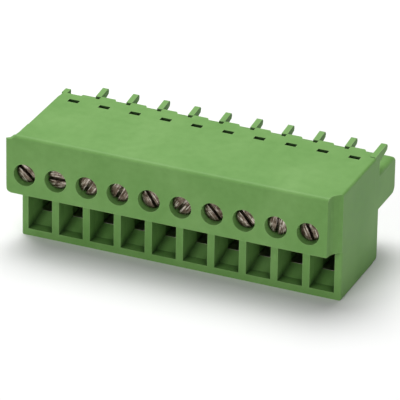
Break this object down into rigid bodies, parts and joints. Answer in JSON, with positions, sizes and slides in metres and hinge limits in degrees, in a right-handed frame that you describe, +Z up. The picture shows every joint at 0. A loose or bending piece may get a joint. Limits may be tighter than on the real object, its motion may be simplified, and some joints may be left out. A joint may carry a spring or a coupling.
{
  "type": "pluggable terminal block",
  "caption": "Green pluggable screw terminal block: a row of wire entries below slotted clamping screws, a header nose with coding ribs behind.",
  "frame": {"origin": "middle of the bounding box, on the underside", "axes": "+X along the row of poles, +Y the way the nose plugs into its header, +Z up, from the wire entries to the screws"},
  "size_m": [0.04, 0.0182, 0.0135],
  "materials": {
    "green_housing": "satin moulded plastic, mid green",
    "screw_metal": "plated steel, dulled brown-grey",
    "clamp_metal": "plated, dull",
    "contact_metal": "tin-plated copper alloy, satin"
  },
  "bodies": {
    "block": {"housing": "green_housing", "contact_1": "contact_metal", "contact_2": "contact_metal", "contact_3": "contact_metal", "contact_4": "contact_metal", "contact_5": "contact_metal", "contact_6": "contact_metal", "contact_7": "contact_metal", "contact_8": "contact_metal", "contact_9": "contact_metal", "contact_10": "contact_metal"},
    "screw_1": {"clamp_screw_1": "screw_metal"},
    "nut_1": {"wedge_nut_1": "clamp_metal"},
    "jaw_1": {"pressure_jaw_1": "clamp_metal"},
    "screw_2": {"clamp_screw_2": "screw_metal"},
    "nut_2": {"wedge_nut_2": "clamp_metal"},
    "jaw_2": {"pressure_jaw_2": "clamp_metal"},
    "screw_3": {"clamp_screw_3": "screw_metal"},
    "nut_3": {"wedge_nut_3": "clamp_metal"},
    "jaw_3": {"pressure_jaw_3": "clamp_metal"},
    "screw_4": {"clamp_screw_4": "screw_metal"},
    "nut_4": {"wedge_nut_4": "clamp_metal"},
    "jaw_4": {"pressure_jaw_4": "clamp_metal"},
    "screw_5": {"clamp_screw_5": "screw_metal"},
    "nut_5": {"wedge_nut_5": "clamp_metal"},
    "jaw_5": {"pressure_jaw_5": "clamp_metal"},
    "screw_6": {"clamp_screw_6": "screw_metal"},
    "nut_6": {"wedge_nut_6": "clamp_metal"},
    "jaw_6": {"pressure_jaw_6": "clamp_metal"},
    "screw_7": {"clamp_screw_7": "screw_metal"},
    "nut_7": {"wedge_nut_7": "clamp_metal"},
    "jaw_7": {"pressure_jaw_7": "clamp_metal"},
    "screw_8": {"clamp_screw_8": "screw_metal"},
    "nut_8": {"wedge_nut_8": "clamp_metal"},
    "jaw_8": {"pressure_jaw_8": "clamp_metal"},
    "screw_9": {"clamp_screw_9": "screw_metal"},
    "nut_9": {"wedge_nut_9": "clamp_metal"},
    "jaw_9": {"pressure_jaw_9": "clamp_metal"},
    "screw_10": {"clamp_screw_10": "screw_metal"},
    "nut_10": {"wedge_nut_10": "clamp_metal"},
    "jaw_10": {"pressure_jaw_10": "clamp_metal"}
  },
  "joints": [
    {"name": "screw_turn_1", "type": "hinge", "parent": "block", "child": "screw_1", "pos_m": [-0.01767, -0.0076, 0.0085], "axis": [0, 1, 0], "range_deg": [0, 1800]},
    {"name": "nut_slide_1", "type": "slide", "parent": "block", "child": "nut_1", "axis": [0, -1, 0], "range_m": [0, 0.002]},
    {"name": "jaw_slide_1", "type": "slide", "parent": "block", "child": "jaw_1", "axis": [0, 0, -1], "range_m": [0, 0.0016]},
    {"name": "screw_turn_2", "type": "hinge", "parent": "block", "child": "screw_2", "pos_m": [-0.01386, -0.0076, 0.0085], "axis": [0, 1, 0], "range_deg": [0, 1800]},
    {"name": "nut_slide_2", "type": "slide", "parent": "block", "child": "nut_2", "axis": [0, -1, 0], "range_m": [0, 0.002]},
    {"name": "jaw_slide_2", "type": "slide", "parent": "block", "child": "jaw_2", "axis": [0, 0, -1], "range_m": [0, 0.0016]},
    {"name": "screw_turn_3", "type": "hinge", "parent": "block", "child": "screw_3", "pos_m": [-0.01005, -0.0076, 0.0085], "axis": [0, 1, 0], "range_deg": [0, 1800]},
    {"name": "nut_slide_3", "type": "slide", "parent": "block", "child": "nut_3", "axis": [0, -1, 0], "range_m": [0, 0.002]},
    {"name": "jaw_slide_3", "type": "slide", "parent": "block", "child": "jaw_3", "axis": [0, 0, -1], "range_m": [0, 0.0016]},
    {"name": "screw_turn_4", "type": "hinge", "parent": "block", "child": "screw_4", "pos_m": [-0.00624, -0.0076, 0.0085], "axis": [0, 1, 0], "range_deg": [0, 1800]},
    {"name": "nut_slide_4", "type": "slide", "parent": "block", "child": "nut_4", "axis": [0, -1, 0], "range_m": [0, 0.002]},
    {"name": "jaw_slide_4", "type": "slide", "parent": "block", "child": "jaw_4", "axis": [0, 0, -1], "range_m": [0, 0.0016]},
    {"name": "screw_turn_5", "type": "hinge", "parent": "block", "child": "screw_5", "pos_m": [-0.00243, -0.0076, 0.0085], "axis": [0, 1, 0], "range_deg": [0, 1800]},
    {"name": "nut_slide_5", "type": "slide", "parent": "block", "child": "nut_5", "axis": [0, -1, 0], "range_m": [0, 0.002]},
    {"name": "jaw_slide_5", "type": "slide", "parent": "block", "child": "jaw_5", "axis": [0, 0, -1], "range_m": [0, 0.0016]},
    {"name": "screw_turn_6", "type": "hinge", "parent": "block", "child": "screw_6", "pos_m": [0.00138, -0.0076, 0.0085], "axis": [0, 1, 0], "range_deg": [0, 1800]},
    {"name": "nut_slide_6", "type": "slide", "parent": "block", "child": "nut_6", "axis": [0, -1, 0], "range_m": [0, 0.002]},
    {"name": "jaw_slide_6", "type": "slide", "parent": "block", "child": "jaw_6", "axis": [0, 0, -1], "range_m": [0, 0.0016]},
    {"name": "screw_turn_7", "type": "hinge", "parent": "block", "child": "screw_7", "pos_m": [0.00519, -0.0076, 0.0085], "axis": [0, 1, 0], "range_deg": [0, 1800]},
    {"name": "nut_slide_7", "type": "slide", "parent": "block", "child": "nut_7", "axis": [0, -1, 0], "range_m": [0, 0.002]},
    {"name": "jaw_slide_7", "type": "slide", "parent": "block", "child": "jaw_7", "axis": [0, 0, -1], "range_m": [0, 0.0016]},
    {"name": "screw_turn_8", "type": "hinge", "parent": "block", "child": "screw_8", "pos_m": [0.009, -0.0076, 0.0085], "axis": [0, 1, 0], "range_deg": [0, 1800]},
    {"name": "nut_slide_8", "type": "slide", "parent": "block", "child": "nut_8", "axis": [0, -1, 0], "range_m": [0, 0.002]},
    {"name": "jaw_slide_8", "type": "slide", "parent": "block", "child": "jaw_8", "axis": [0, 0, -1], "range_m": [0, 0.0016]},
    {"name": "screw_turn_9", "type": "hinge", "parent": "block", "child": "screw_9", "pos_m": [0.01281, -0.0076, 0.0085], "axis": [0, 1, 0], "range_deg": [0, 1800]},
    {"name": "nut_slide_9", "type": "slide", "parent": "block", "child": "nut_9", "axis": [0, -1, 0], "range_m": [0, 0.002]},
    {"name": "jaw_slide_9", "type": "slide", "parent": "block", "child": "jaw_9", "axis": [0, 0, -1], "range_m": [0, 0.0016]},
    {"name": "screw_turn_10", "type": "hinge", "parent": "block", "child": "screw_10", "pos_m": [0.01662, -0.0076, 0.0085], "axis": [0, 1, 0], "range_deg": [0, 1800]},
    {"name": "nut_slide_10", "type": "slide", "parent": "block", "child": "nut_10", "axis": [0, -1, 0], "range_m": [0, 0.002]},
    {"name": "jaw_slide_10", "type": "slide", "parent": "block", "child": "jaw_10", "axis": [0, 0, -1], "range_m": [0, 0.0016]}
  ],
  "couplings": [
    {"joint": "screw_turn_1", "follows": "nut_slide_1", "rad_per_m": 15708},
    {"joint": "jaw_slide_1", "follows": "nut_slide_1", "ratio": 0.79999},
    {"joint": "screw_turn_2", "follows": "nut_slide_2", "rad_per_m": 15708},
    {"joint": "jaw_slide_2", "follows": "nut_slide_2", "ratio": 0.79999},
    {"joint": "screw_turn_3", "follows": "nut_slide_3", "rad_per_m": 15708},
    {"joint": "jaw_slide_3", "follows": "nut_slide_3", "ratio": 0.79999},
    {"joint": "screw_turn_4", "follows": "nut_slide_4", "rad_per_m": 15708},
    {"joint": "jaw_slide_4", "follows": "nut_slide_4", "ratio": 0.79999},
    {"joint": "screw_turn_5", "follows": "nut_slide_5", "rad_per_m": 15708},
    {"joint": "jaw_slide_5", "follows": "nut_slide_5", "ratio": 0.79999},
    {"joint": "screw_turn_6", "follows": "nut_slide_6", "rad_per_m": 15708},
    {"joint": "jaw_slide_6", "follows": "nut_slide_6", "ratio": 0.79999},
    {"joint": "screw_turn_7", "follows": "nut_slide_7", "rad_per_m": 15708},
    {"joint": "jaw_slide_7", "follows": "nut_slide_7", "ratio": 0.79999},
    {"joint": "screw_turn_8", "follows": "nut_slide_8", "rad_per_m": 15708},
    {"joint": "jaw_slide_8", "follows": "nut_slide_8", "ratio": 0.79999},
    {"joint": "screw_turn_9", "follows": "nut_slide_9", "rad_per_m": 15708},
    {"joint": "jaw_slide_9", "follows": "nut_slide_9", "ratio": 0.79999},
    {"joint": "screw_turn_10", "follows": "nut_slide_10", "rad_per_m": 15708},
    {"joint": "jaw_slide_10", "follows": "nut_slide_10", "ratio": 0.79999}
  ]
}
